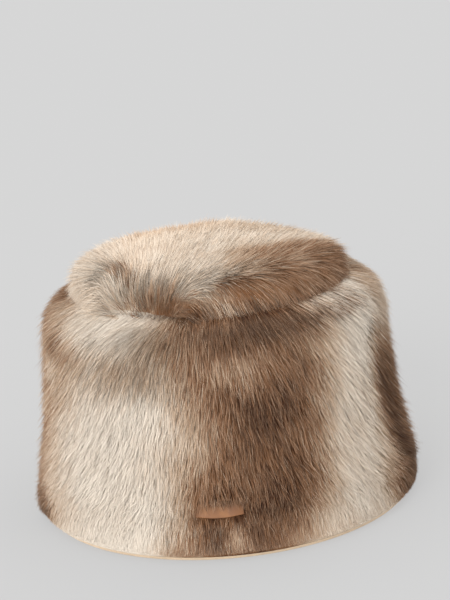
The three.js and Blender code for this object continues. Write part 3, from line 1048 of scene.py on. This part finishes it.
def grow_band_quarter(panel, name, start, seed):
    """The pile of one quarter of the band from a start turn on."""
    fur = settings().fur
    pile = Pile(fur.band_strands, seed)
    weights = np.cumsum(panel.radii)
    root_arc = np.interp(pile.spread[1], weights / weights[-1], panel.arcs)
    root_arc = np.maximum(root_arc, HEM_ROOT)
    root_turn = start + pile.spread[0] * FULL_TURN / 4
    radius = panel.radius(root_arc)
    roots = panel.at(root_turn, panel.along(root_arc), 1.0)
    across = root_turn % FULL_TURN * RIM_RADIUS
    aside, ahead, tuft = pile.clumps(across, root_arc, TUFT, 3)
    lock_aside, _, lock = pile.clumps(across, root_arc, LOCK, 4)
    lean = np.interp(np.degrees(root_turn) % 360, BAND_LEAN["turn"], BAND_LEAN["lean"])
    lean = lean + 5 * wander(roots, 40 * MM, 5) + 4 * wander(roots, 14 * MM, 6)
    lean = np.radians(lean + 3 * lock[:, 0] + 6 * tuft[:, 0] + pile.jitter(13))
    length = fur.band_length * (1 + 0.15 * tuft[:, 1] + pile.jitter(0.3) + 0.3 * pile.guard)
    room = (root_arc - (2.0 + 1.5 * pile.draw.random(pile.count)) * MM) / np.cos(lean)
    length = np.minimum(length, np.maximum(room, 2 * MM))
    stations = [(root_turn, panel.along(root_arc), 0.52 + pile.jitter(0.05))]
    lift = 0.79 + 0.13 * pile.guard + 0.03 * wander(roots, 18 * MM, 8) + 0.03 * tuft[:, 2] + pile.jitter(0.14)
    lift = lift + spots_at(PILE_FLARES, root_turn, root_arc)
    for share, pull, height in ((STRAND_BEND, 0.3, 0.9), (1.0, 0.8, 1.0)):
        arc = root_arc - share * length * np.cos(lean) - pull * 0.3 * ahead
        turn = root_turn + (share * length * np.sin(lean) - pull * (aside + 0.12 * lock_aside)) / radius
        stations.append((turn, panel.along(np.maximum(arc, HEM_TIP)), lift * height))
    points = panel.at(*stations[1])
    keep, stations = part_round_tab(panel, stations, pile)
    tone = band_tone(pile.scatter(points, BAND_SCATTER))
    tone = tone + (0.13 * tuft[:, 1] + 0.05 * lock[:, 1]) * np.clip(tone, 0.2, 0.8)
    grow(name, panel, pile, stations, tone, band_fleck(points), keep, PILE_FLOOR, "band_fur", "side_band")


def grow(name, panel, pile, stations, tone, fleck, keep, floor, *stands_for):
    """Makes those strands that are kept a piece."""
    values = strand_values(pile, tone, fleck)
    widths = strand_widths(pile, values["fleck"])
    stations = [tuple(part[keep] for part in station) for station in stations]
    values = {key: part[keep] for key, part in values.items()}
    piece = strand_piece(name, panel, stations, widths[keep], values, floor)
    finish_piece(piece, *stands_for, shared_material("pile", fur_material, 0.5, 0.22))


def strand_values(pile, tone, fleck):
    """The tone, which is dyed colour with some painted shade, the grey tip and the tilt of each strand."""
    tone = tone + pile.jitter(0.26) * np.clip(0.1 + tone, 0.15, 0.8)
    tone = tone - 0.4 * tone * (pile.draw.random(pile.count) < 0.3) * pile.guard
    grey = (pile.draw.random(pile.count) < fleck) * (0.5 + 0.5 * pile.draw.random(pile.count))
    return {"tone": tone, "fleck": grey, "tilt": pile.jitter(0.9)}


def strand_widths(pile, fleck):
    """The width of each strand, less for guard hairs and grey tips."""
    return settings().fur.width * (1 + pile.jitter(0.3)) * np.where(pile.guard | (fleck > 0), 0.75, 1.1)


def part_round_tab(panel, stations, pile):
    """Which strands stay clear of the leather tab, and where they end over its upper edge."""
    first, last, low, high = tab_patch(panel)
    wide, tall = last - first, high - low
    (root_turn, root_along, root_height), (bend_turn, bend_along, bend_height), tip = stations
    tip_turn, tip_along, tip_height = tip
    turn = turns_apart(bend_turn, first) + first
    beside = (turn > first - 0.04 * wide) & (turn < last + 0.04 * wide)
    lower_part = low + 0.35 * tall
    on_tab = beside & (root_along > lower_part) & (root_along < high)
    under = beside & (root_along <= lower_part) & (root_along > low - 0.5 * tall)
    over = beside & (root_along >= high) & (tip_along < high)
    # Strands over the tab end on it, and those at its left end lie across it at full length
    covering = turns_apart(turn, first) < wide * (0.06 + 0.3 * pile.draw.random(pile.count))
    stop = high - tall * (0.15 + 0.6 * pile.draw.random(pile.count) ** 2)
    share = np.clip((root_along - stop) / np.maximum(root_along - tip_along, 1e-6), 0.15, 1.0)
    share = np.where(over & ~covering, share, 1.0)
    tip_along = root_along + (tip_along - root_along) * share
    tip_turn = root_turn + (tip_turn - root_turn) * share
    bend_along = root_along + (bend_along - root_along) * share
    bend_turn = root_turn + (bend_turn - root_turn) * share
    bend_height = np.where(under, np.minimum(bend_height, 0.7), bend_height)
    bend_height = np.where(over, np.maximum(bend_height, TAB_COVER - 0.04), bend_height)
    tip_height = np.where(over, np.maximum(tip_height, TAB_COVER), tip_height)
    stations = [
        (root_turn, root_along, root_height),
        (bend_turn, bend_along, bend_height),
        (tip_turn, tip_along, tip_height),
    ]
    return ~on_tab, stations


def away_from_parting(root):
    """The way from the lid's parting line to places on the flattened lid, and how far they are from it."""
    turn = np.radians(PARTING["turn"])
    line = np.stack([np.cos(turn), np.sin(turn)], axis=-1) * PARTING["arc"][:, None] * MM
    way = root[:, None] - line
    far = np.linalg.norm(way, axis=-1, keepdims=True)
    return unit((way / far**2).sum(axis=1)), far.min(axis=1)[:, 0]


def lid_lie(panel, pile, root, root_turn, root_arc, roots, tuft):
    """The way that each strand of the lid lies, how upright it stands and how near it is to the edge."""
    away, far = away_from_parting(root)
    falls = 1 - smooth_hill(turn_gap(root_turn, PARTING_MIDDLE, PARTING_REACH))
    fall = smooth_step(0.45, 1.0, root_arc / panel.length) * falls
    heading = unit(away * (1 - fall)[:, None] + unit(root) * fall[:, None])
    turned = np.radians(6 * wander(roots, 36 * MM, 15) + 5 * wander(roots, 13 * MM, 16))
    upright = smooth_hill(far / UPRIGHT_REACH) * (root[:, 1] < 0)
    turned = turned + np.radians(6 * tuft[:, 0] + pile.jitter(14) + upright * pile.jitter(32))
    edge = smooth_step(panel.length - 20 * MM, panel.length - 4 * MM, root_arc) * (1 - upright)
    sideways = np.sin(turns_apart(root_turn, math.radians(PARTING_MIDDLE)))
    turned = turned + math.radians(EDGE_SWEEP) * edge * sideways
    x, y = heading.T
    cos, sin = np.cos(turned), np.sin(turned)
    return np.stack([x * cos - y * sin, x * sin + y * cos], axis=-1), upright, edge


class FURHAT_OT_lid_pile(bpy.types.Operator):
    """Grows the lid's pile, which parts at the front left and falls towards the edge elsewhere"""

    bl_idname = "furhat.lid_pile"
    bl_label = "Lid Pile"

    def execute(self, context):
        fur = settings().fur
        panel = lid_panel()
        pile = Pile(fur.lid_strands, fur.seed + 10)
        weights = np.cumsum(np.maximum(panel.radii, 2 * MM) * np.gradient(panel.arcs))
        root_arc = np.interp(pile.spread[1], weights / weights[-1], panel.arcs)
        root_turn = pile.spread[0] * FULL_TURN
        root = np.stack([np.cos(root_turn), np.sin(root_turn)], axis=-1) * root_arc[:, None]
        roots = panel.at(root_turn, panel.along(root_arc), 1.0)
        aside, ahead, tuft = pile.clumps(root[:, 0] + 1, root[:, 1] + 1, LID_TUFT, 13)
        heading, upright, edge = lid_lie(panel, pile, root, root_turn, root_arc, roots, tuft)
        length = fur.lid_length * (1 + 0.1 * tuft[:, 1] + pile.jitter(0.2) + 0.25 * pile.guard)
        length = length * (1 - 0.4 * upright + 0.3 * upright * pile.guard)
        outwards = np.maximum(0.1, np.einsum("ij,ij->i", heading, unit(root)))
        reach = panel.length + OVERHANG_DROP * overhang(root_turn) - 3 * MM * pile.draw.random(pile.count)
        room = np.maximum((reach - root_arc) / outwards, 3 * MM)
        length = np.where(upright > 0.3, length, np.minimum(length, room))
        lift = 0.76 + 0.14 * pile.guard + 0.04 * wander(roots, 16 * MM, 18) + 0.03 * tuft[:, 2] + pile.jitter(0.16)
        lift = lift * (1 - 0.22 * edge)
        stations = [(root_turn, panel.along(root_arc), LID_UNDERFUR + pile.jitter(0.06))]
        for share, pull, height in ((STRAND_BEND, 0.3, 0.92), (1.0, 0.8, 1.0)):
            pulled = np.stack([aside, ahead], axis=-1) * pull
            spot = root + heading * (share * length)[:, None] - pulled
            turn = np.arctan2(spot[:, 1], spot[:, 0])
            along = panel.along(np.linalg.norm(spot, axis=1))
            stations.append((turn, along, lift * (height + 0.6 * share * upright)))
        points = panel.at(*stations[1])
        tone = lid_tone(pile.scatter(points, LID_SCATTER)) + 0.05 * tuft[:, 1]
        grow("lid_pile", panel, pile, stations, tone, lid_fleck(points), slice(None), 0.0, "lid_fur", "crown_lid")
        return {"FINISHED"}


class FURHAT_OT_rim_binding(bpy.types.Operator):
    """Models the cloth binding that is folded round the band's lower edge"""

    bl_idname = "furhat.rim_binding"
    bl_label = "Rim Binding"

    def execute(self, context):
        panel = band_panel()
        sizes = settings().sizes
        cloth = sizes.binding_cloth
        outer = SEAM_GAP + cloth
        inner = -sizes.band_wall - SEAM_GAP
        height = BINDING_HIGH.z
        soft = cloth * 0.35
        # The folded strip's section: up the outer leg, over its edge, down, across under the wall and up again
        section = table(
            "offset height",
            (outer - soft, 0.0),
            (outer, soft),
            (outer, height * 0.5),
            (outer, height - soft),
            (outer - soft, height),
            (SEAM_GAP + soft, height),
            (SEAM_GAP, height - soft),
            (SEAM_GAP, cloth),
            (inner, cloth),
            (inner, height - soft),
            (inner - soft, height),
            (inner - cloth + soft, height),
            (inner - cloth, height - soft),
            (inner - cloth, soft),
            (inner - cloth + soft, 0.0),
            (outer - soft, 0.0),
        )
        rows = len(section["offset"]) - 1
        heights = panel.at(0.0, panel.shares, 0.0)[:, 2]

        def place(u, v):
            row = np.rint(v * rows).astype(int)
            up = section["height"][row]
            along = np.interp(up, heights, panel.shares)
            points = panel.at(u * FULL_TURN, along, 0.0, section["offset"][row])
            points[:, 2] = up
            return points

        piece = grid_piece("binding", 180, rows, place)
        close_up(piece)
        finish_piece(
            piece,
            "binding_cloth",
            "rim_binding",
            shared_material("binding_weave", cloth_material, settings().colours.binding, 700.0, 0.0002),
        )
        return {"FINISHED"}


class FURHAT_OT_leather_tab(bpy.types.Operator):
    """Models the bare leather tab, bowed over the pile, with a soft cut edge"""

    bl_idname = "furhat.leather_tab"
    bl_label = "Leather Tab"

    def execute(self, context):
        panel = band_panel()
        first, last, low, high = tab_patch(panel)
        sizes = settings().sizes

        def place(u, v):
            bow = 0.8 * MM * smooth_hill(1.6 * (u - 0.5)) + 0.3 * MM * np.sin(9 * u)
            sag = -0.22 * (high - low) * (1 - v) * smooth_hill(1.8 * (u - 0.5))
            return panel.at(first + u * (last - first), low + v * (high - low) + sag, sizes.tab_depth, bow)

        piece = grid_piece("tab", 28, 10, place)
        apply_modifier(piece, "SOLIDIFY", thickness=sizes.tab_thickness, offset=-1.0)
        close_up(piece)
        bevel = {"width": 0.35 * MM, "segments": 2, "limit_method": "ANGLE", "angle_limit": math.radians(50)}
        apply_modifier(piece, "BEVEL", **bevel)
        bpy.ops.object.shade_smooth()
        points = points_of(piece)
        rim = np.minimum(points[:, 2] - points[:, 2].min(), points[:, 2].max() - points[:, 2])
        ends = np.minimum(points[:, 0] - points[:, 0].min(), points[:, 0].max() - points[:, 0])
        inwards = smooth_step(0.0, sizes.tab_thickness, np.minimum(rim, ends))
        point_value(piece.data, "edge", 0.8 * (1 - inwards))
        finish_piece(piece, "tab_leather", "leather_tab", shared_material("tan_leather", leather_material))
        return {"FINISHED"}


class FURHAT_OT_studio(bpy.types.Operator):
    """Sets up the pale floor, the soft light and the camera"""

    bl_idname = "furhat.studio"
    bl_label = "Studio"

    def execute(self, context):
        scene = context.scene
        studio = settings().studio
        deselect()
        bpy.ops.mesh.primitive_plane_add(size=16, location=(0, 0, 0))
        floor = context.object
        floor.name = "floor"
        paper = new_material(
            "floor_paper",
            Roughness=0.9,
            Specular_IOR_Level=0.0,
            Base_Color=(*[studio.floor_tone] * 3, 1),
            Emission_Color=(1, 1, 1, 1),
            Emission_Strength=studio.floor_glow,
        )[0]
        floor.data.materials.append(paper)
        world = bpy.data.worlds.new("studio")
        world.use_nodes = True
        background = world.node_tree.nodes["Background"]
        background.inputs["Color"].default_value = (1, 1, 1, 1)
        background.inputs["Strength"].default_value = studio.sky
        scene.world = world
        key = bpy.data.lights.new("key", "SUN")
        key.energy = studio.key
        key.angle = KEY_ANGLE
        lamp = bpy.data.objects.new("key", key)
        scene.collection.objects.link(lamp)
        lamp.rotation_mode = "QUATERNION"
        lamp.rotation_quaternion = KEY_DIRECTION.to_track_quat("-Z", "Y")
        scene.view_settings.view_transform = "Standard"
        scene.view_settings.look = "None"
        self.place_camera(scene, studio)
        return {"FINISHED"}

    def place_camera(self, scene, studio):
        """Puts the camera at the photograph's angle, turned so that the hat sits low and a little left."""
        focal_pixels = studio.lens / SENSOR * IMAGE_HEIGHT
        back = Vector((0, -math.cos(studio.elevation), math.sin(studio.elevation)))
        camera = bpy.data.objects.new("camera", bpy.data.cameras.new("camera"))
        camera.data.lens = studio.lens
        camera.data.sensor_width = SENSOR
        camera.data.clip_end = 30
        scene.collection.objects.link(camera)
        look = (-back).to_track_quat("-Z", "Y").to_matrix()
        roll = Matrix.Rotation(-studio.roll, 3, "Z")
        pitch = Matrix.Rotation(math.atan((AIM_DOWN - IMAGE_HEIGHT / 2) / focal_pixels), 3, "X")
        yaw = Matrix.Rotation(math.atan((AIM_ACROSS - IMAGE_WIDTH / 2) / focal_pixels), 3, "Y")
        turned = look @ roll @ pitch @ yaw
        camera.matrix_world = Matrix.Translation(AIM + back * studio.distance) @ turned.to_4x4()
        scene.camera = camera


PIECE_OPERATORS = (
    FURHAT_OT_studio,
    FURHAT_OT_band_pelt,
    FURHAT_OT_lid_pelt,
    FURHAT_OT_rim_binding,
    FURHAT_OT_leather_tab,
    FURHAT_OT_band_pile,
    FURHAT_OT_lid_pile,
)


class FURHAT_PT_panel(bpy.types.Panel):
    """Lists the steps that build the hat"""

    bl_idname = "FURHAT_PT_panel"
    bl_label = "Fur Hat"
    bl_space_type = "VIEW_3D"
    bl_region_type = "UI"
    bl_category = "Fur Hat"

    def draw(self, context):
        for group_name in ("sizes", "fur", "colours", "studio"):
            box = self.layout.box()
            box.label(text=group_name.capitalize())
            group = getattr(context.scene.fur_hat, group_name)
            for name in group.__annotations__:
                box.prop(group, name)
        for operator in PIECE_OPERATORS:
            self.layout.operator(operator.bl_idname)


CLASSES = (HatSizes, FurSettings, HatColours, StudioSettings, FurHatSettings, *PIECE_OPERATORS, FURHAT_PT_panel)


def register():
    for item in CLASSES:
        bpy.utils.register_class(item)
    bpy.types.Scene.fur_hat = PointerProperty(type=FurHatSettings)


def unregister():
    del bpy.types.Scene.fur_hat
    for item in reversed(CLASSES):
        bpy.utils.unregister_class(item)


def main():
    """Builds the hat."""
    register()
    bpy.ops.furhat.studio()
    bpy.ops.furhat.band_pelt()
    bpy.ops.furhat.lid_pelt()
    bpy.ops.furhat.rim_binding()
    bpy.ops.furhat.leather_tab()
    bpy.ops.furhat.band_pile()
    bpy.ops.furhat.lid_pile()


if __name__ == "__main__":
    main()
